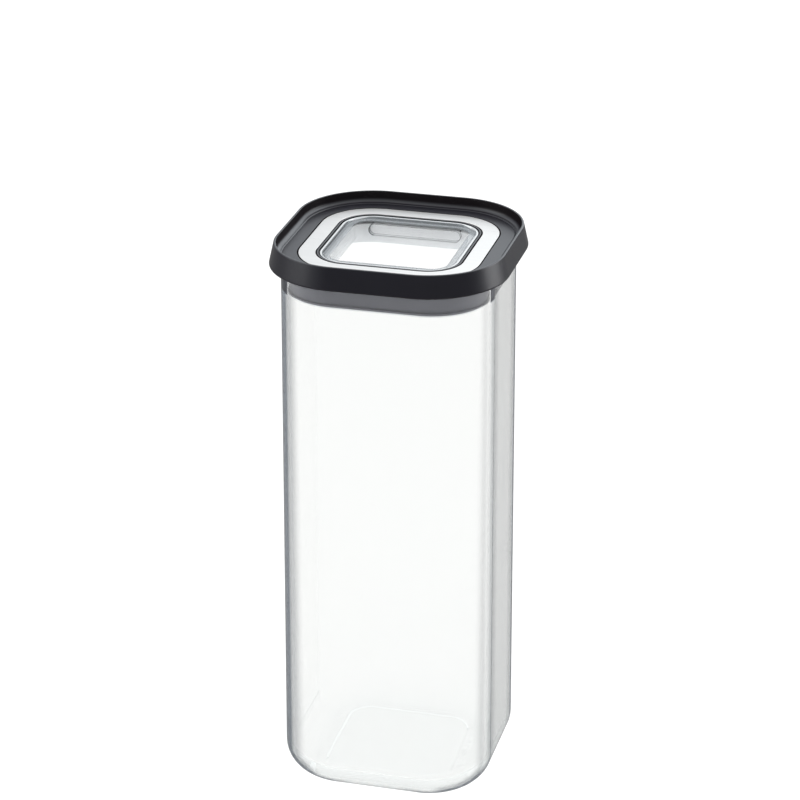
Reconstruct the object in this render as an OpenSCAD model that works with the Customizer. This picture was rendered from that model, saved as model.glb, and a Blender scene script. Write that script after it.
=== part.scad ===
// Square storage canister: a tall glass jar with rounded corners and a press-on lid.
// The lid is a moulded shell with a stacking rim, an inlaid steel ring, a clear
// dished window and a plug that carries a lipped seal.
// Millimetres, +Z up, origin at the centre of the base.

/* [Glass jar] */
// Outside width across the flats, at the base
jar_w = 101; // [94:1:112]
// Height from the standing face to the mouth
jar_h = 261.5; // [140:0.5:300]
// Outside corner radius in plan, at the base
jar_corner_r = 30.5; // [26:0.5:32]
// Inward lean of each wall over the full height
jar_draft = 1; // [0.2:0.1:1.2]
// Thickness of the glass wall
wall_t = 2.8; // [2.2:0.1:3.4]
// Thickness of the glass floor
floor_t = 5; // [4:0.5:8]
// Outside radius between wall and base
base_r = 14; // [9:0.5:17]
// Inside radius between wall and floor
inner_base_r = 11; // [7:0.5:14]
// Depth of the hollow under the base
punt_h = 0.8; // [0.4:0.1:1.6]
// Width of the flat band that the jar stands on
foot_w = 5; // [3:0.5:7]

/* [Lid shell] */
// How far the rim's top edge stands out past the jar's mouth
rim_overhang = 3.7; // [2.6:0.1:4.5]
// Corner radius of the rim in plan
lid_corner_r = 35.4; // [33:0.1:37]
// Outward lean of the skirt from the rim down to its lower edge
skirt_flare = 2.4; // [1:0.1:3]
// Thickness of the skirt at its lower edge
shell_t = 2; // [1.6:0.1:2.4]
// Thickness of the stacking rim
rim_t = 1.1; // [0.9:0.1:1.8]
// Thickness of the flat plate
plate_t = 2; // [1.7:0.1:2.6]
// Height of the stacking rim above the plate
rim_h = 5.2; // [4.2:0.1:8]
// How far the skirt hangs below the plate
skirt_drop = 3.5; // [2.5:0.1:6]
// Radius of the hollow fillet between plate and rim
rim_fillet = 2.4; // [1.2:0.1:3.2]
// Width of the shadow groove at the foot of the fillet
groove_w = 0.7; // [0.4:0.1:1]
// Depth of the shadow groove
groove_h = 0.3; // [0.2:0.1:0.6]
// Width of the plate between the rim and the steel ring
ledge_w = 9.7; // [8.5:0.1:11]
// Width of the collar between the steel ring and the window
collar_w = 1.3; // [1:0.1:1.8]
// Height of the rib that centres the plug under the plate
rib_h = 3; // [2:0.1:5]
// Thickness of that rib
rib_t = 1.6; // [1.2:0.1:2]

/* [Steel ring] */
// Width of the steel strip
ring_w = 7.7; // [6:0.1:8.5]
// Thickness of the steel
ring_t = 0.8; // [0.5:0.1:1]

/* [Window] */
// Width of the raised edge round the shoulder
lip_w = 1.9; // [1.4:0.1:2.4]
// Height of the raised edge above the shoulder
lip_h = 0.7; // [0.4:0.1:1]
// Width of the shoulder round the well
shoulder_w = 3; // [2:0.1:4]
// Depth of the well below the shoulder
well_h = 8; // [7:0.1:9]
// Inward lean of the well's wall over its depth
well_draft = 1.1; // [0.4:0.1:1.6]
// Corner radius at the top of the well in plan
well_corner_r = 7.4; // [6:0.1:9]
// Radius between the well's wall and floor
well_fillet = 0.9; // [0.4:0.1:1.4]
// Thickness of the clear plastic
window_t = 1.8; // [1.4:0.1:2.2]
// Thickness of the flange that holds the window under the collar
flange_t = 1.4; // [1:0.1:1.8]
// How far that flange reaches under the collar
flange_w = 3.4; // [2:0.1:4]
// Length of the writing field, end to end
label_w = 44; // [30:0.5:46]
// Height of the writing field
label_h = 5.3; // [4:0.1:5.8]
// Depth of the writing field below the wall's face
label_depth = 0.3; // [0.1:0.05:0.5]
// How far the middle of the writing field lies below the shoulder
label_drop = 4.3; // [3.8:0.1:4.6]

/* [Plug and seal] */
// Depth of the plug below the lid's plate
plug_h = 15.1; // [13:0.1:20]
// Thickness of the plug's outer wall
plug_t = 1.6; // [1.2:0.1:2]
// Thickness of the plug's floor
plug_floor_t = 1.4; // [1:0.1:2]
// How far the floor lies above the plug's lower edge
floor_rise = 5.5; // [1:0.1:6.5]
// Thickness of the sleeve round the window's well
sleeve_t = 1.5; // [1.1:0.1:2]
// Thickness of the flange above the seal
seat_t = 1.2; // [0.8:0.1:1.6]
// Thickness of the flange below the seal
toe_t = 0.7; // [0.6:0.1:1.4]
// Thickness of the seal's band
band_t = 1.6; // [1.2:0.1:2]
// How far the seal's lips stand out from its band
lip_reach = 1; // [0.8:0.1:1.8]
// Thickness of a lip at its root
lip_root = 0.9; // [0.7:0.1:1.2]
// Height of the lower lip's root above the seal's lower edge
low_lip_z = 0.3; // [0.2:0.1:2]
// Height of the upper lip's root above the seal's lower edge
high_lip_z = 10; // [6:0.1:11]

/* [Clearances] */
// Between the lid's plate and the jar's mouth
seat_gap = 0.3; // [0.2:0.05:0.5]
// Between the seal's lips and the glass
glass_gap = 0.25; // [0.2:0.05:0.5]
// Round the window and the rib
fit_gap = 0.25; // [0.15:0.05:0.4]
// Round the steel ring, inside and outside
ring_gap = 0.4; // [0.2:0.05:0.5]

/* [Hidden] */
$fn = 96;

// Largest distance between a rounded corner's arc and its chords
arc_tol = 0.01;
// Radius that takes the sharpness off a moulded edge
edge_r = 0.4;
// How far a cut runs past the face it opens
past = 1;

// Half widths, measured from the axis to a flat side
jar_half = jar_w / 2;
mouth_half = jar_half - jar_draft;
bore_half = mouth_half - wall_t;
rim_half = mouth_half + rim_overhang;
skirt_half = rim_half + skirt_flare;
rim_in_half = rim_half - rim_t;
recess_out_half = rim_in_half - ledge_w;
ring_out_half = recess_out_half - ring_gap;
ring_in_half = ring_out_half - ring_w;
recess_in_half = ring_in_half - ring_gap;
collar_in_half = recess_in_half - collar_w;
window_half = collar_in_half - fit_gap;
shoulder_half = window_half - lip_w;
well_half = shoulder_half - shoulder_w;
well_floor_half = well_half - well_draft;
flange_half = window_half + flange_w;
sleeve_half = well_half + window_t + fit_gap;
lip_half = bore_half - glass_gap;
band_half = lip_half - lip_reach;
plug_half = band_half - band_t;
plug_in_half = plug_half - plug_t;
rib_half = plug_in_half - fit_gap;

// Distance from the axis to the centres of the corner arcs
jar_c = jar_half - jar_corner_r;
lid_c = rim_half - lid_corner_r;
well_c = well_half - well_corner_r;

// Heights above the standing face
plate_z = jar_h + seat_gap;
ledge_z = plate_z + plate_t;
top_z = ledge_z + rim_h;
skirt_z = plate_z - skirt_drop;
lip_z = ledge_z - fit_gap;
shoulder_z = lip_z - lip_h;
well_z = shoulder_z - well_h;
flange_z = plate_z - flange_t;
plug_z = plate_z - plug_h;
plug_floor_z = plug_z + floor_rise;
band_z = plug_z + toe_t;
seat_z = plate_z - seat_t;

// A corner of a section is [half width or distance, height] or, where it is rounded,
// [half width or distance, height, radius].
function unit(v) = v / norm(v);
function at(corner) = [corner[0], corner[1]];

// The arc that rounds the corner p between its neighbours a and b
function arc(p, a, b, r) =
    let (
        u = unit(a - p),
        v = unit(b - p),
        half_angle = acos(u * v) / 2,
        centre = p + unit(u + v) * r / sin(half_angle),
        from = p + u * r / tan(half_angle) - centre,
        to = p + v * r / tan(half_angle) - centre,
        turn = atan2(cross(from, to), from * to),
        steps = max(2, ceil(abs(turn) / (2 * acos(1 - arc_tol / r))))
    )
    [for (i = [0:steps])
        let (a = turn * i / steps)
        centre + [from[0] * cos(a) - from[1] * sin(a), from[0] * sin(a) + from[1] * cos(a)]];

function rounded(corners) =
    let (n = len(corners))
    [for (i = [0:n - 1])
        let (
            p = at(corners[i]),
            a = at(corners[(i + n - 1) % n]),
            b = at(corners[(i + 1) % n]),
            r = len(corners[i]) > 2 ? corners[i][2] : 0
        )
        each r > 0 ? arc(p, a, b, r) : [p]];

// Half widths become distances from the corner centres at c
function from_centre(corners, c) =
    [for (p = corners) len(p) > 2 ? [p[0] - c, p[1], p[2]] : [p[0] - c, p[1]]];

// Carries a section round a square with rounded corners, whose corner centres lie at
// (+-c, +-c): a quarter turn at each corner and a straight run along each side.
module around(c) {
    for (side = [0:3])
        rotate(90 * side)
            translate([c, c, 0]) {
                rotate_extrude(angle = 90)
                    children();
                rotate([90, 0, 0])
                    linear_extrude(2 * c)
                        children();
            }
}

// A closed ring with the given section, its corners stated as half widths
module ring(c, corners) {
    around(c)
        polygon(rounded(from_centre(corners, c)));
}

// A solid block: the section's outer side, filled in to the axis from z0 to z1.
// The first and last corners lie at half width c.
module block(c, corners, z0, z1) {
    ring(c, corners);
    translate([-c, -c, z0])
        cube([2 * c, 2 * c, z1 - z0]);
}

// A flat slab with rounded corners
module slab(c, half, z0, z1) {
    block(c, [[c, z0], [half, z0], [half, z1], [c, z1]], z0, z1);
}

// ---------------------------------------------------------------- glass jar

// Floor and wall in one section, with a hollow under the floor and a fire-polished mouth
module glass_jar() {
    foot_in = jar_half - base_r - foot_w;
    mouth_r = wall_t * 0.45;
    color([0.82, 0.9, 0.92, 0.35])
        block(jar_c, [
            [jar_c, punt_h],
            [foot_in - 2 * punt_h, punt_h, 1],
            [foot_in, 0, 1],
            [jar_half, 0, base_r],
            [mouth_half, jar_h, mouth_r],
            [bore_half, jar_h, mouth_r],
            [jar_half - wall_t, floor_t, inner_base_r],
            [jar_c, floor_t],
        ], punt_h, floor_t);
}

// ---------------------------------------------------------------- lid shell

// Stacking rim, fillet, groove, plate with the recess for the steel ring, collar and skirt
module lid_shell() {
    recess_z = ledge_z - ring_t;
    fillet_in = rim_in_half - rim_fillet;
    color([0.16, 0.16, 0.18])
        union() {
            ring(lid_c, [
                [rim_half, top_z, edge_r],
                [rim_in_half, top_z, edge_r],
                [rim_in_half, ledge_z, rim_fillet],
                [fillet_in, ledge_z],
                [fillet_in - groove_w / 2, ledge_z - groove_h],
                [fillet_in - groove_w, ledge_z],
                [recess_out_half, ledge_z],
                [recess_out_half, recess_z],
                [recess_in_half, recess_z],
                [recess_in_half, ledge_z],
                [collar_in_half, ledge_z, edge_r / 2],
                [collar_in_half, plate_z],
                [skirt_half - shell_t - edge_r, plate_z, edge_r],
                [skirt_half - shell_t, skirt_z, edge_r],
                [skirt_half, skirt_z, 2 * edge_r],
            ]);
            ring(jar_c, [
                [rib_half - rib_t, plate_z],
                [rib_half - rib_t, plate_z - rib_h],
                [rib_half, plate_z - rib_h],
                [rib_half, plate_z],
            ]);
        }
}

// ---------------------------------------------------------------- steel ring

// Flat strip inlaid in the plate, flush with its face
module steel_ring() {
    color([0.86, 0.86, 0.87])
        ring(lid_c, [
            [ring_in_half, ledge_z - ring_t],
            [ring_out_half, ledge_z - ring_t],
            [ring_out_half, ledge_z],
            [ring_in_half, ledge_z],
        ]);
}

// ---------------------------------------------------------------- window

// The hollow above the window: raised edge, shoulder and well
module well_space() {
    block(well_c, [
        [well_c, well_z],
        [well_floor_half, well_z, well_fillet],
        [well_half, shoulder_z, edge_r],
        [shoulder_half, shoulder_z, edge_r / 2],
        [shoulder_half + edge_r, lip_z],
        [shoulder_half + edge_r, lip_z + past],
        [well_c, lip_z + past],
    ], well_z, lip_z + past);
}

// Long field with round ends, sunk into the well's back wall along its slope
module writing_field() {
    lean = atan(well_draft / well_h);
    wall_y = well_half - well_draft * label_drop / well_h;
    straight = label_w - label_h;
    translate([0, wall_y + label_depth, shoulder_z - label_drop])
        rotate([90 - lean, 0, 0])
            linear_extrude(window_t) {
                square([straight, label_h], center = true);
                for (end = [-1, 1])
                    translate([end * straight / 2, 0])
                        circle(d = label_h);
            }
}

// Clear dish, trapped by its flange between the collar and the plug's sleeve
module window() {
    outer_fillet = well_fillet + window_t / 2;
    color([0.85, 0.9, 0.92, 0.35])
        difference() {
            union() {
                slab(lid_c, window_half, flange_z, lip_z);
                slab(lid_c, flange_half, flange_z, plate_z - fit_gap);
                block(well_c, [
                    [well_c, well_z - window_t],
                    [well_floor_half + window_t, well_z - window_t, outer_fillet],
                    [well_half + window_t, flange_z],
                    [well_c, flange_z],
                ], well_z - window_t, flange_z);
            }
            well_space();
            writing_field();
        }
}

// ---------------------------------------------------------------- plug frame

// Channel under the plate: outer wall with the seal's seat, raised floor, and sleeve round
// the well. The floor lies level with the window's, so that the view down stays clear.
module plug_frame() {
    color([0.7, 0.73, 0.76])
        union() {
            ring(jar_c, [
                [plug_in_half, plate_z],
                [plug_in_half, plug_z],
                [band_half, plug_z, edge_r],
                [band_half, band_z],
                [plug_half, band_z],
                [plug_half, seat_z],
                [band_half, seat_z],
                [band_half, plate_z],
            ]);
            difference() {
                slab(jar_c, plug_in_half + plug_t / 2, plug_floor_z, plug_floor_z + plug_floor_t);
                slab(well_c, sleeve_half, plug_floor_z - past, plug_floor_z + plug_floor_t + past);
            }
            ring(well_c, [
                [sleeve_half, plug_floor_z],
                [sleeve_half + sleeve_t, plug_floor_z],
                [sleeve_half + sleeve_t, flange_z],
                [sleeve_half, flange_z],
            ]);
        }
}

// ---------------------------------------------------------------- seal ring

// Corners of one lip, from its lower root up to its upper root, at height z
function lip(z) = [
    [band_half, z],
    [lip_half, z + lip_root / 2, lip_root / 5],
    [lip_half, z + lip_root * 1.2, lip_root / 5],
    [band_half, z + lip_root],
];

// Soft band that fills the plug's seat, with two lips that wipe the glass
module seal_ring() {
    color([0.42, 0.44, 0.48])
        ring(jar_c, concat(
            [[plug_half, band_z], [band_half, band_z]],
            lip(band_z + low_lip_z),
            lip(band_z + high_lip_z),
            [[band_half, seat_z], [plug_half, seat_z]]
        ));
}

glass_jar();
lid_shell();
steel_ring();
window();
plug_frame();
seal_ring();
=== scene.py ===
# %% [markdown]
# # A glass canister with a press-on lid
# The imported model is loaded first. It is a fixed frame: every piece that is made
# here takes the place of one of its nodes, at the same size and in the same spot.

# %% Load the frame
import math

import bmesh
import bpy
from mathutils import Matrix, Vector


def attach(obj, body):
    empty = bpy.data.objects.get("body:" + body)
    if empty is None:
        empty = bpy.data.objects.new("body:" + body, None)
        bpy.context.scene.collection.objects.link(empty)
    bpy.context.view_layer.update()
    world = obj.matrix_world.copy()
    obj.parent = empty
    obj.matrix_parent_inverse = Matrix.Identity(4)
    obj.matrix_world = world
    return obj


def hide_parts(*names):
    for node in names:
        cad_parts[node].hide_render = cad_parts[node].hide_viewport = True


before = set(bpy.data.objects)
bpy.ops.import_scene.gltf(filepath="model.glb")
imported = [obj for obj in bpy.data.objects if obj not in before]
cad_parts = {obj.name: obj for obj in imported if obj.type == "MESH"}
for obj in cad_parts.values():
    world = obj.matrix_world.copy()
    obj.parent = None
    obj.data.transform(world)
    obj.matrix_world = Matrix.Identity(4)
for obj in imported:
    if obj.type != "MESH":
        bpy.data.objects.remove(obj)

for name in ("Cube", "Light", "Camera"):
    if name in bpy.data.objects:
        bpy.data.objects.remove(bpy.data.objects[name])

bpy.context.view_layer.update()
print("nodes:", sorted(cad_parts))

# %% [markdown]
# The sizes below are the canister's own, in millimetres. Widths are half widths,
# measured from the axis to a flat side, because every section is drawn that way.

# %% Sizes
MM = 0.001
JAR_CORNERS = 20.0                      # from the axis to the centres of the jar's corner arcs
LID_CORNERS = 17.8                      # the same for the lid, whose corners are rounder

JAR_FOOT, JAR_MOUTH = 50.5, 49.5        # half widths of the jar at its foot and mouth
JAR_WALL = 2.8
JAR_TOP = 261.5
JAR_FLOOR = 5.0                         # top of the jar's floor
HOLLOW = 0.8                            # depth of the hollow under the jar
HOLLOW_EDGE, FOOT_BAND = 29.9, 31.5     # where the hollow ends and the foot band starts

SKIRT = 258.3                           # lower edge of the lid's skirt
RIB = 258.8                             # lower edge of the rib that centres the plug
PLATE = 261.8                           # underside of the lid's plate
RECESS = 263.0                          # floor of the recess for the steel ring
GROOVE = 263.5                          # bottom of the shadow groove
LEDGE = 263.8                           # top of the plate, level with the steel ring
RIM = 269.0                             # top of the stacking rim
SKIRT_IN, SKIRT_OUT = 53.6, 55.6
RIM_IN, RIM_OUT = 52.1, 53.2
FILLET = 2.4                            # hollow fillet between ledge and rim
GROOVE_IN, GROOVE_OUT = 49.0, 49.7
RECESS_IN, RECESS_OUT = 33.9, 42.4
RING_IN, RING_OUT = 34.3, 42.0
RIB_IN, RIB_OUT = 40.4, 42.0
COLLAR = 32.6                           # hole in the plate for the window

SEAL_FOOT, SEAL_TOP = 247.4, 260.6
LOWER_LIP, UPPER_LIP = 247.7, 257.4     # where the root of each lip starts
BAND_IN, BAND_OUT, LIP_OUT = 43.85, 45.45, 46.45

# %% [markdown]
# ## The camera
# A long lens about 1.45 m away looks down at the lid. The far distance keeps the tall
# jar's sides nearly parallel.

# %% Camera
SENSOR, LENS = 36, 132.8      # millimetres
DIP, SWING = 23.23, 14.7      # degrees below the level, and round from the front

scene = bpy.context.scene
eye = bpy.data.cameras.new("camera")
camera = bpy.data.objects.new("camera", eye)
scene.collection.objects.link(camera)
scene.camera = camera
eye.sensor_width = SENSOR
eye.lens = LENS
eye.clip_start = 0.05
camera.location = (0.3216, -1.2255, 0.7291)
camera.rotation_euler = (math.radians(90 - DIP), 0, math.radians(SWING))
scene.view_settings.view_transform = "Standard"

# %% [markdown]
# ## Drawing a section and carrying it round
# Every piece of this canister is one section carried round a square with rounded
# corners. The section is a wire, and a vertex bevel rounds its corners. A spin turns
# it round each corner, and an extrusion carries it along each side. That is how such
# a mould is designed too, and it keeps the walls even all the way round.

# %% Section tools
FACET = math.radians(9)       # the most that one facet of a rounded edge may turn


def round_off(bm, vert, radius):
    """Rounds one corner of a wire section."""
    arms = [(edge.other_vert(vert).co - vert.co).normalized() for edge in vert.link_edges]
    half_angle = arms[0].angle(arms[1]) / 2
    turn = math.pi - 2 * half_angle
    bmesh.ops.bevel(
        bm, geom=[vert], offset=radius / math.tan(half_angle), offset_type="OFFSET",
        segments=max(3, math.ceil(turn / FACET)), profile=0.5, affect="VERTICES",
        clamp_overlap=False, material=-1)


def draw_section(bm, corners, centre, closed=True):
    """A wire of (half width, height) or (half width, height, radius) corners."""
    verts = [bm.verts.new((k[0] * MM, centre * MM, k[1] * MM)) for k in corners]
    for pair in zip(verts, verts[1:]):
        bm.edges.new(pair)
    if closed:
        bm.edges.new((verts[-1], verts[0]))
    for vert, corner in zip(verts, corners):
        if len(corner) > 2:
            round_off(bm, vert, corner[2] * MM)
    return [edge for edge in bm.edges if not edge.link_faces]


def carry_round(bm, wires, centre, steps):
    """Spins the wires round each corner and extrudes them along each side."""
    for side in range(4):
        turned = Matrix.Rotation(math.radians(90 * side), 3, "Z")
        corner = turned @ Vector((centre, centre, 0)) * MM
        spun = bmesh.ops.spin(
            bm, geom=wires, cent=corner, axis=(0, 0, 1), angle=math.pi / 2, steps=steps)
        wires = [part for part in spun["geom_last"] if isinstance(part, bmesh.types.BMEdge)]
        run = bmesh.ops.extrude_edge_only(bm, edges=wires)["geom"]
        ends = {part for part in run if isinstance(part, bmesh.types.BMVert)}
        bmesh.ops.translate(bm, verts=list(ends), vec=turned @ Vector((-2 * centre, 0, 0)) * MM)
        wires = [part for part in run if isinstance(part, bmesh.types.BMEdge)
                 and all(vert in ends for vert in part.verts)]


# %% [markdown]
# Where two such rings of one part overlap, a boolean union makes one closed skin of
# them, so that no face is left inside the plastic.

# %% Join two solids
SAME_SPOT = 0.004 * MM        # points closer than this are one point


def join_solids(first, second):
    """Unites two closed shells into one bmesh."""
    parts = []
    for bm in (first, second):
        bmesh.ops.remove_doubles(bm, verts=bm.verts, dist=SAME_SPOT)
        bmesh.ops.recalc_face_normals(bm, faces=bm.faces)
        mesh = bpy.data.meshes.new("solid")
        bm.to_mesh(mesh)
        bm.free()
        parts.append(bpy.data.objects.new("solid", mesh))
        scene.collection.objects.link(parts[-1])
    union = parts[0].modifiers.new("union", "BOOLEAN")
    union.operation, union.solver, union.object = "UNION", "EXACT", parts[1]
    joined = parts[0].evaluated_get(bpy.context.evaluated_depsgraph_get())
    bm = bmesh.new()
    bm.from_mesh(joined.to_mesh())
    joined.to_mesh_clear()
    for part in parts:
        bpy.data.objects.remove(part)
    return bm


# %% [markdown]
# One more helper turns the finished bmesh into an object. Doubles are merged and the
# faces are pointed outwards, and edges sharper than 35 degrees keep a crisp shading.
# The modifier lets the largest face decide the shading at each corner. Without it the
# flat glass walls would be shaded as if they were bent, and light would go astray.

# %% Finish a piece
CRISP = math.radians(35)


def finish_piece(bm, name, body, node, material):
    """Makes the object, rides it on its body and lets it stand for its node."""
    bmesh.ops.remove_doubles(bm, verts=bm.verts, dist=SAME_SPOT)
    bmesh.ops.dissolve_degenerate(bm, edges=bm.edges, dist=SAME_SPOT / 2)
    rims = [edge for edge in bm.edges if edge.is_boundary]
    if rims:
        bmesh.ops.holes_fill(bm, edges=rims, sides=0)
    bmesh.ops.recalc_face_normals(bm, faces=bm.faces)
    mesh = bpy.data.meshes.new(name)
    bm.to_mesh(mesh)
    open_edges = sum(not edge.is_manifold for edge in bm.edges)
    print(name, len(mesh.polygons), "faces,", open_edges, "open edges,",
          round(bm.calc_volume() / MM ** 3), "mm3")
    bm.free()
    mesh.shade_smooth()
    mesh.set_sharp_from_angle(angle=CRISP)
    mesh.materials.append(material)
    piece = bpy.data.objects.new(name, mesh)
    scene.collection.objects.link(piece)
    shading = piece.modifiers.new("even_shading", "WEIGHTED_NORMAL")
    shading.keep_sharp, shading.weight = True, 100
    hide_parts(node)
    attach(piece, body)


# %% [markdown]
# ## Node maths as Python
# A finish is a sum of patterns. This small class lets the patterns be added and
# multiplied with plain signs, and one method makes every other kind of node.


# %% Node kit
class Value:
    """A number that runs through the nodes of a finish."""

    def __init__(self, kit, socket):
        self.kit, self.socket = kit, socket

    def also(self, out):
        """Another output of the node that this value comes from."""
        return Value(self.kit, self.socket.node.outputs[out])

    def maths(self, operation, other, swapped=False):
        a, b = (other, self) if swapped else (self, other)
        return self.kit.node("ShaderNodeMath", {"operation": operation}, {0: a, 1: b})

    def __add__(self, other):
        return self.maths("ADD", other)

    def __sub__(self, other):
        return self.maths("SUBTRACT", other)

    def __rsub__(self, other):
        return self.maths("SUBTRACT", other, True)

    def __mul__(self, other):
        return self.maths("MULTIPLY", other)

    def __pow__(self, other):
        return self.maths("POWER", other)

    def above(self, other):
        return self.maths("GREATER_THAN", other)

    def at_least(self, other):
        return self.maths("MAXIMUM", other)

    def at_most(self, other):
        return self.maths("MINIMUM", other)

    def size(self):
        return self.kit.node("ShaderNodeMath", {"operation": "ABSOLUTE"}, {0: self})

    __radd__, __rmul__ = __add__, __mul__


class Kit:
    """The node tree of one finish."""

    def __init__(self, owner):
        owner.use_nodes = True
        self.tree = owner.node_tree
        self.tree.nodes.clear()

    def node(self, kind, settings=(), sockets=(), out=0):
        made = self.tree.nodes.new(kind)
        for key, value in dict(settings).items():
            setattr(made, key, value)
        for key, value in dict(sockets).items():
            if isinstance(value, Value):
                self.tree.links.new(value.socket, made.inputs[key])
            else:
                made.inputs[key].default_value = value
        return Value(self, made.outputs[out])

    def where(self):
        """Where a point lies on the piece, in metres."""
        return self.node("ShaderNodeTexCoord", out="Object")

    def split(self, vector):
        """The x, y and z of a vector."""
        x = self.node("ShaderNodeSeparateXYZ", sockets={0: vector})
        return x, x.also("Y"), x.also("Z")

    def reach(self, x, y, centre):
        """The distance from a square whose corners are the centres of the corner arcs,
        and how deep a point lies in a corner, which is 0 along the flat sides."""
        side_x = (x.size() - centre * MM).at_least(0.0)
        side_y = (y.size() - centre * MM).at_least(0.0)
        return (side_x ** 2 + side_y ** 2) ** 0.5, side_x.at_most(side_y)

    def turned(self):
        """How far a face is turned away: 0 when it faces the eye, 1 when seen edge on."""
        return self.node("ShaderNodeLayerWeight", sockets={"Blend": 0.5}, out="Facing")

    def rays(self):
        """Rays that see straight or through glass, and rays that are mirrored."""
        camera = self.node("ShaderNodeLightPath", out="Is Camera Ray")
        seen = camera.at_least(camera.also("Is Transmission Ray"))
        return seen, camera.also("Is Glossy Ray") * (1 - seen)

    def noise(self, where, scale, detail=2, stretch=(1, 1, 1), roughness=0.5):
        placed = self.node("ShaderNodeMapping", sockets={"Vector": where, "Scale": stretch})
        return self.node("ShaderNodeTexNoise", sockets={
            "Vector": placed, "Scale": scale, "Detail": detail, "Roughness": roughness})

    def blend(self, share, a, b):
        """A colour that is a where share is 0 and b where it is 1."""
        a, b = (colour if isinstance(colour, Value) else (*colour, 1) for colour in (a, b))
        return self.node("ShaderNodeMix", {"data_type": "RGBA"}, {0: share, 6: a, 7: b}, out=2)

    def smooth(self, value, start, end, low=0.0, high=1.0):
        """A soft step from low to high while the value goes from start to end."""
        return self.node("ShaderNodeMapRange", {"interpolation_type": "SMOOTHSTEP"}, {
            "Value": value, "From Min": start, "From Max": end, "To Min": low, "To Max": high})

    def line(self, value, middle, half_width):
        """1 where the value is within half_width of the middle, and 0 elsewhere."""
        return (half_width - (value - middle).size()).above(0.0)

    def bump(self, height, strength, distance):
        return self.node("ShaderNodeBump", sockets={
            "Height": height, "Strength": strength, "Distance": distance})

    def principled(self, **sockets):
        """The standard shader. Its sockets are written with underscores for spaces."""
        return self.node("ShaderNodeBsdfPrincipled", sockets={
            name.replace("_", " "): value for name, value in sockets.items()})

    def mix(self, share, a, b):
        """A shader that is a where share is 0 and b where it is 1."""
        return self.node("ShaderNodeMixShader", sockets={0: share, 1: a, 2: b})

    def surface(self, shader, kind="ShaderNodeOutputMaterial"):
        self.tree.links.new(shader.socket, self.tree.nodes.new(kind).inputs["Surface"])


# %% [markdown]
# ## Clear glass
# Real glass is a full solid: light bends where it enters and where it leaves. Shadow
# and diffuse rays go straight through, which keeps the inside free of noise. So do
# rays that meet the glass from within so flatly that they would never get out again.
#
# In a white room clear glass has no outline of its own. What draws it is the rounded
# corners, which gather darker light from far aside. That light is painted shade here:
# the glass's colour darkens to grey at the corners and, seen almost edge on, along
# their outline, at the foot and on the mouth's outer face. The painted shade grows as
# the surface turns away, and the flat walls take only a trace of it. The distance to
# the centre line of the corner arcs tells the outer face from the inner one. Near the
# base the outer face curves in, and the line between the two faces follows it.

# %% Clear glass finish
# The glass's own colour, and the painted shade that its corners and edges take.
PALE_GLASS, GLASS_EDGE_SHADE = (0.91, 0.915, 0.91), (0.018, 0.026, 0.04)
MID_WALL = 28.6 * MM                    # reach of the middle of the wall, between its faces
MID_BASE = 10 * MM                      # the same where the base turns flat
BASE_CURVE = (-6 * MM, 12 * MM)         # heights between which the base curves in
FOOT_END, MOUTH_START = 12 * MM, 260.1 * MM
DARKEST = 0.97                          # the most painted shade that a face takes
CAUGHT = 0.254                          # rays turned further than this stay in the glass

glass = bpy.data.materials.new("clear_glass_finish")
kit = Kit(glass)
where = kit.where()
x, y, z = kit.split(where)
reach, inset = kit.reach(x, y, JAR_CORNERS)
inside = kit.node("ShaderNodeNewGeometry", out="Backfacing")
outer = reach.above(kit.smooth(z, *BASE_CURVE, MID_BASE, MID_WALL)) * (1 - inside)
turned = kit.turned()
corner = kit.smooth(inset, 6 * MM, 13 * MM)
on_corner = 0.67 * kit.smooth(turned, 0.36, 0.56) + 0.32 * kit.smooth(turned, 0.58, 0.70)
ends = kit.smooth(x.size().at_most(y.size()), 9 * MM, 19 * MM)
on_flat = (0.29 + 0.36 * ends) * kit.smooth(turned, 0.50, 0.74)
shade_line = 0.9 * kit.smooth(inset, 0.0, 1.2 * MM) * kit.smooth(turned, 0.75, 0.80)
foot = 0.6 * (1 - z.above(FOOT_END)) * kit.smooth(turned, 0.80, 0.95)
mouth = z.above(MOUTH_START) * (1 - inside) * (0.25 + 0.6 * kit.smooth(turned, 0.2, 0.7))
# Painted shade, as a share of the dark colour: at the corners, their outline, the foot and the
# mouth.
painted_glass_shade = outer * (corner * on_corner + (1 - corner) * on_flat + shade_line + foot)
solid = kit.principled(
    Base_Color=kit.blend(painted_glass_shade.at_least(mouth).at_most(DARKEST), PALE_GLASS, GLASS_EDGE_SHADE),
    Transmission_Weight=1.0, IOR=1.50, Roughness=0.0,
    Normal=kit.bump(kit.noise(where, 22, 1.5), 0.12, 0.0006))
shadow = kit.node("ShaderNodeLightPath", out="Is Shadow Ray")
straight = shadow.at_least(shadow.also("Is Diffuse Ray")).at_least(inside * turned.above(CAUGHT))
through = kit.node("ShaderNodeBsdfTransparent", sockets={"Color": (0.98, 0.99, 0.99, 1)})
kit.surface(kit.mix(straight, solid, through))

# %% [markdown]
# ## The glass jar
# The section runs from the middle of the base out along the hollow underside, round
# the flat foot band, up the wall, over the fire-polished mouth and back down inside.
# It stays open at the axis, and the two square holes left in the floor are filled.

# %% Glass jar
OUTER_ROUND, INNER_ROUND, POLISHED = 14, 11, 1.26       # radii at the base and the mouth

bm = bmesh.new()
wires = draw_section(bm, [
    (JAR_CORNERS, HOLLOW), (HOLLOW_EDGE, HOLLOW, 1), (FOOT_BAND, 0, 1),
    (JAR_FOOT, 0, OUTER_ROUND), (JAR_MOUTH, JAR_TOP, POLISHED),
    (JAR_MOUTH - JAR_WALL, JAR_TOP, POLISHED), (JAR_FOOT - JAR_WALL, JAR_FLOOR, INNER_ROUND),
    (JAR_CORNERS, JAR_FLOOR)], JAR_CORNERS, closed=False)
carry_round(bm, wires, JAR_CORNERS, steps=32)
finish_piece(bm, "jar_glass", "jar", "glass_jar", glass)
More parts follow.
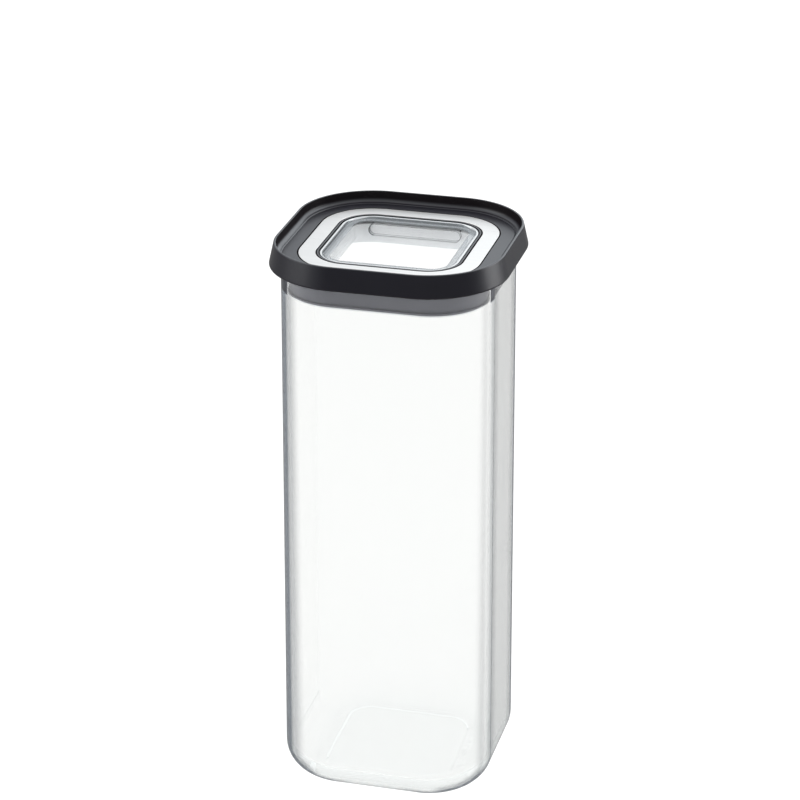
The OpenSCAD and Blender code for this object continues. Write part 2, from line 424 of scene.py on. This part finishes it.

# %% [markdown]
# ## Dark moulded plastic
# The lid's shell is moulded with a fine spark-eroded grain. The grain is far too
# small to see as bumps, but it makes the sheen broad and soft. Slow changes in
# roughness keep large faces from looking computed. The inner wall of the rim is
# matt, since no tool can polish it. The gaps round the inlaid ring and the window,
# and the recess under the ring, carry painted shade: a dark matt strip that stands
# in for the shadow in them.

# %% Dark plastic
GAPS = (14.9, 16.0, 24.7)               # reach of the painted shadow lines at the gaps round the window and the ring
GAP = 0.15 * MM                         # half the width of such a painted shadow line
POCKET_FLOOR, POCKET_TOP, POCKET_REACH = 261.95 * MM, 263.68 * MM, 25 * MM
WALL_FOOT, WALL_START, WALL_REACH = 264.3 * MM, 265.7 * MM, 34.45 * MM

plastic = bpy.data.materials.new("dark_plastic_finish")
kit = Kit(plastic)
where = kit.where()
x, y, z = kit.split(where)
grain = kit.noise(where, 2600, 3)
patches = kit.noise(where, 35, 2)
handled = kit.noise(where, 160, 4, roughness=0.6)
reach, inset = kit.reach(x, y, LID_CORNERS)
# Painted shade: the recess under the ring and thin lines at the gaps become a dark matt strip.
gap_shade = z.above(POCKET_FLOOR) * (1 - z.above(POCKET_TOP)) * (1 - reach.above(POCKET_REACH))
for gap in GAPS:
    gap_shade = gap_shade.at_least(kit.line(reach, gap * MM, GAP) * z.above(RECESS * MM))
shade = kit.blend(patches, (0.0066, 0.0060, 0.0105), (0.0082, 0.0075, 0.0130))
moulded = kit.principled(
    Base_Color=kit.blend(gap_shade, shade, (0.001, 0.001, 0.001)),
    Roughness=0.26 + 0.05 * patches + 0.04 * handled + 0.5 * gap_shade, IOR=1.56,
    Normal=kit.bump(grain, 0.16, 0.00004))
wall = kit.smooth(z, WALL_FOOT, WALL_START) * (1 - reach.above(WALL_REACH))
matt = kit.node("ShaderNodeBsdfDiffuse", sockets={"Color": (0.011, 0.0088, 0.0098, 1)})
# The matt strip of the gaps is painted shade; the rim's inner wall is matt as its finish.
kit.surface(kit.mix((0.85 * wall).at_least(gap_shade), moulded, matt))

# %% [markdown]
# ## The lid's shell
# One section holds the skirt, the stacking rim, the hollow fillet, the shadow groove,
# the ledge with the recess for the steel ring, and the collar round the window. The
# rib below the plate is a second, smaller ring. It follows the jar's corners, starts
# half a millimetre inside the plate and is joined to it.

# %% Lid shell
ROOT = PLATE + 0.5            # where the rib starts inside the plate

bm = bmesh.new()
wires = draw_section(bm, [
    (RIM_OUT, RIM, 0.45), (RIM_IN, RIM, 0.4), (RIM_IN, LEDGE, FILLET),
    (GROOVE_OUT, LEDGE, 0.08), ((GROOVE_OUT + GROOVE_IN) / 2, GROOVE, 0.12),
    (GROOVE_IN, LEDGE, 0.08), (RECESS_OUT, LEDGE, 0.12), (RECESS_OUT, RECESS),
    (RECESS_IN, RECESS), (RECESS_IN, LEDGE, 0.12), (COLLAR, LEDGE, 0.2), (COLLAR, PLATE, 0.1),
    (RIM_OUT, PLATE, 0.4), (SKIRT_IN, SKIRT, 0.4), (SKIRT_OUT, SKIRT, 0.8)], LID_CORNERS)
carry_round(bm, wires, LID_CORNERS, steps=30)
rib = bmesh.new()
wires = draw_section(rib, [
    (RIB_IN, ROOT), (RIB_IN, RIB, 0.3), (RIB_OUT, RIB, 0.3), (RIB_OUT, ROOT)], JAR_CORNERS)
carry_round(rib, wires, JAR_CORNERS, steps=24)
finish_piece(
    join_solids(bm, rib), "lid_moulding", "lid", "lid_shell", plastic)

# %% [markdown]
# ## Brushed steel
# The ring is blanked from brushed sheet, so the fine lines run straight across the
# whole lid and don't follow the ring. A noise that is stretched along X gives them.
# The cut edges lie deep in the gap, and their shade is painted: there the steel's colour is near
# black.

# %% Steel finish
CUT_EDGE = 263.62 * MM        # below this height the ring shows its cut edge, painted near black as shade

steel = bpy.data.materials.new("steel_finish")
kit = Kit(steel)
where = kit.where()
x, y, z = kit.split(where)
fine = kit.noise(where, 900, 3, (0.012, 3, 1))
broad = kit.noise(where, 260, 2, (0.03, 2.2, 1))
lines = 0.6 * fine + 0.4 * broad
shade = kit.blend(lines, (0.67, 0.65, 0.63), (0.81, 0.785, 0.76))
# Painted shade: below CUT_EDGE the steel's colour is near black.
kit.surface(kit.principled(
    Base_Color=kit.blend(z.above(CUT_EDGE), (0.02, 0.02, 0.02), shade), Metallic=1.0,
    Roughness=0.22 + 0.16 * lines, Normal=kit.bump(lines, 0.12, 0.00003)))

# %% [markdown]
# ## The steel ring
# A flat strip with a hairline of shadow on each side, partly the real gap and partly
# painted shade. Its upper edges are broken by a tiny radius, as tumbling leaves them,
# and that catches the light.

# %% Steel ring
bm = bmesh.new()
wires = draw_section(bm, [
    (RING_IN, RECESS), (RING_OUT, RECESS), (RING_OUT, LEDGE, 0.14), (RING_IN, LEDGE, 0.14)],
    LID_CORNERS)
carry_round(bm, wires, LID_CORNERS, steps=30)
finish_piece(bm, "ring_steel", "lid", "steel_ring", steel)

# %% [markdown]
# ## The window
# The clear dish keeps its CAD mesh, whose shape is right, with the sunk writing
# field. Thin clear plastic hardly bends the light, so it is made by its opacity: it
# is almost absent seen straight on and grows opaque at grazing angles, where its
# colour is a painted reflection, a grey that darkens as the face turns away.
# The floor of the writing field is frosted, so that a pen takes on it. The field is
# a pill shape, found from the distance to its middle line, with a thin outline of
# painted shadow that is darker at the left end. The raised edge has a painted grey
# reflection, with painted shadow lines at its step and its end and a painted
# highlight on the brim between.

# %% Window finish
PILL_HALF_LENGTH, PILL_HEIGHT, PILL_RADIUS = 19.35 * MM, 258.55 * MM, 2.6 * MM
PILL_LINE = 0.2 * MM                    # half the width of its painted shadow outline
PILL_END = 19.5 * MM                    # beyond this, on the left, the painted shadow outline is darker
BACK_WALL, BACK_TOP = 26.2 * MM, 262.5 * MM     # the field lies behind and below these
EDGE, SIDE = 262.2 * MM, 255.8 * MM     # heights where the raised edge and the sides start
STEP, STEP_LINE = 12.65 * MM, 0.25 * MM         # reach of the edge's step, half the width of its painted shadow line
BRIM, BRIM_END = 13.6 * MM, 14.3 * MM

clear = bpy.data.materials.new("window_finish")
kit = Kit(clear)
where = kit.where()
x, y, z = kit.split(where)
along = (x.size() - PILL_HALF_LENGTH).at_least(0.0)
pill = PILL_RADIUS - (along ** 2 + (z - PILL_HEIGHT) ** 2) ** 0.5
back = y.above(BACK_WALL) * (1 - z.above(BACK_TOP))
field = pill.above(0.0) * back
shade_line = kit.line(pill, 0.0, PILL_LINE) * back
reach, inset = kit.reach(x, y, LID_CORNERS)
edge = z.above(EDGE)
step_shadow = edge * kit.line(reach, STEP, STEP_LINE).at_least(reach.above(BRIM_END))
brim_highlight = edge * reach.above(BRIM)
turned = kit.turned()
# Painted reflection: grey as the face turns away, and on the raised edge. Painted shadow on the
# pill's outline and at the edge's step and end, and a painted highlight on the brim.
shade = kit.blend(turned ** 2, (0.90, 0.92, 0.93), (0.30, 0.33, 0.35))
shade = kit.blend(field, shade, (0.97, 0.98, 0.99))
shade = kit.blend(edge, shade, (0.34, 0.365, 0.385))
shade = kit.blend(brim_highlight, shade, (0.80, 0.82, 0.83))
shade = kit.blend(shade_line.at_least(step_shadow), shade, (0.16, 0.17, 0.18))
side = z.above(SIDE) * (1 - edge)
opacity = 0.03 + 0.9 * turned ** 8 + 0.6 * side * turned ** 3 + 0.15 * field + 0.55 * edge
opacity = opacity + (0.35 + 0.5 * (-PILL_END - x).above(0.0)) * shade_line
opacity = opacity + 0.3 * step_shadow.at_least(brim_highlight)
kit.surface(kit.principled(
    Base_Color=shade, Metallic=0.2, Roughness=0.05 + 0.4 * field, IOR=1.49,
    Alpha=opacity.at_most(1.0),
    Normal=kit.bump(kit.noise(where, 1500, 2) * field, 0.2, 0.00005)))
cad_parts["window"].data.materials[0] = clear

# %% [markdown]
# ## The plug
# The channel that carries the seal is moulded from milky plastic. It spreads the
# light like thin porcelain and lets a little of it straight through.

# %% Plug finish
milky = bpy.data.materials.new("plug_finish")
kit = Kit(milky)
cloud = kit.noise(kit.where(), 90, 3)
kit.surface(kit.principled(
    Base_Color=kit.blend(cloud, (0.92, 0.94, 0.96), (0.97, 0.98, 0.99)),
    Roughness=0.35 + 0.1 * cloud, IOR=1.45, Alpha=0.9 + 0.08 * cloud))
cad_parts["plug_frame"].data.materials[0] = milky

# %% [markdown]
# ## The seal
# Silicone has a soft, slightly dusty sheen. Two lips stand out from the band and
# wipe the glass. Their roots are rounded, because soft rubber tears at sharp ones.
# Under the lower lip there is only room for a small radius.

# %% Seal finish
silicone = bpy.data.materials.new("silicone_finish")
kit = Kit(silicone)
dust = kit.noise(kit.where(), 420, 4, roughness=0.65)
kit.surface(kit.principled(
    Base_Color=kit.blend(dust, (0.122, 0.123, 0.146), (0.156, 0.158, 0.185)),
    Roughness=0.42 + 0.15 * dust, IOR=1.42, Normal=kit.bump(dust, 0.1, 0.00004)))

# %% Seal
section = [(BAND_IN, SEAL_FOOT, 0.2), (BAND_OUT, SEAL_FOOT, 0.12)]
for root, under in ((LOWER_LIP, 0.12), (UPPER_LIP, 0.3)):
    section += [(BAND_OUT, root, under), (LIP_OUT, root + 0.45, 0.18),
                (LIP_OUT, root + 1.08, 0.18), (BAND_OUT, root + 0.9, 0.3)]
section += [(BAND_OUT, SEAL_TOP, 0.2), (BAND_IN, SEAL_TOP, 0.2)]
bm = bmesh.new()
carry_round(bm, draw_section(bm, section, JAR_CORNERS), JAR_CORNERS, steps=30)
finish_piece(bm, "seal_band", "lid", "seal_ring", silicone)

# %% [markdown]
# ## The studio
# The backdrop is white to the eye and to anything seen in or through the glass. The
# light itself comes from soft lamps and a plain sky. In reflections, the low part of
# the side behind the camera is a dark room, which is what gives a dark lid its shape.
# Overhead the sky is dimmer, because the top lamp already lights the lid from there.

# %% Sky
SKY = 0.72                    # strength of the plain sky that gives the light
WHITE, COOL = (1, 1, 1), (0.90, 0.955, 1)

world = bpy.data.worlds.new("studio")
scene.world = world
kit = Kit(world)
seen, mirrored = kit.rays()
sideways, depth, height = kit.split(kit.node("ShaderNodeTexCoord", out="Generated"))
room = kit.smooth(depth, -0.2, 0.7, 0.06, 1.05) * kit.smooth(sideways, -0.45, 0.05, 0.5, 2.1)
room = room.at_least(kit.smooth(sideways, -0.35, -0.65, 0.0, 0.5))
room = room.at_least(kit.smooth(height, 0.22, 0.38, 0.0, 0.95))
room = room * kit.smooth(height, 0.70, 0.86, 1.0, 0.42)
light = mirrored * room + (1 - mirrored) * SKY
kit.surface(kit.node("ShaderNodeBackground", sockets={
    "Color": kit.blend(mirrored, WHITE, COOL), "Strength": seen + (1 - seen) * light}),
    "ShaderNodeOutputWorld")


# %% Lamps
def softbox(name, place, target, width, height, watts):
    """A rectangular lamp that points at the target and isn't seen itself."""
    lamp = bpy.data.lights.new(name, "AREA")
    lamp.shape, lamp.size, lamp.size_y, lamp.energy = "RECTANGLE", width, height, watts
    box = bpy.data.objects.new(name, lamp)
    scene.collection.objects.link(box)
    box.visible_camera = box.visible_transmission = False
    box.location = place
    box.rotation_euler = (Vector(target) - Vector(place)).to_track_quat("-Z", "Y").to_euler()


softbox("lamp_left", (-1.3, -0.5, 0.9), (0, 0, 0.15), 1.3, 1.5, 9)
softbox("lamp_right", (1.3, 0.6, 0.5), (0, 0, 0.2), 0.8, 0.9, 6)
softbox("lamp_top", (0, 0.3, 1.7), (0, 0, 0.2), 2.6, 2.6, 18)

# %% [markdown]
# The floor is a wide disc. It glows white towards the camera and in the glass, and
# it keeps a share of real light, so that the canister still has its shadow. In
# reflections it is darker, as the floor of a dim room is.

# %% Floor
PAPER, DIM_PAPER = (0.86, 0.86, 0.86), (0.24, 0.24, 0.24)
GLOW, GLOW_SHARE = 1.28, 0.6

bm = bmesh.new()
bmesh.ops.create_circle(bm, cap_ends=True, segments=96, radius=6)
mesh = bpy.data.meshes.new("floor")
bm.to_mesh(mesh)
bm.free()
floor = bpy.data.objects.new("floor", mesh)
scene.collection.objects.link(floor)
paper = bpy.data.materials.new("floor_paper")
kit = Kit(paper)
seen, mirrored = kit.rays()
lit = kit.node("ShaderNodeBsdfDiffuse", sockets={"Color": kit.blend(mirrored, PAPER, DIM_PAPER)})
glow = kit.node("ShaderNodeEmission", sockets={"Color": (1, 1, 1, 1), "Strength": GLOW})
kit.surface(kit.mix(seen * GLOW_SHARE, lit, glow))
mesh.materials.append(paper)
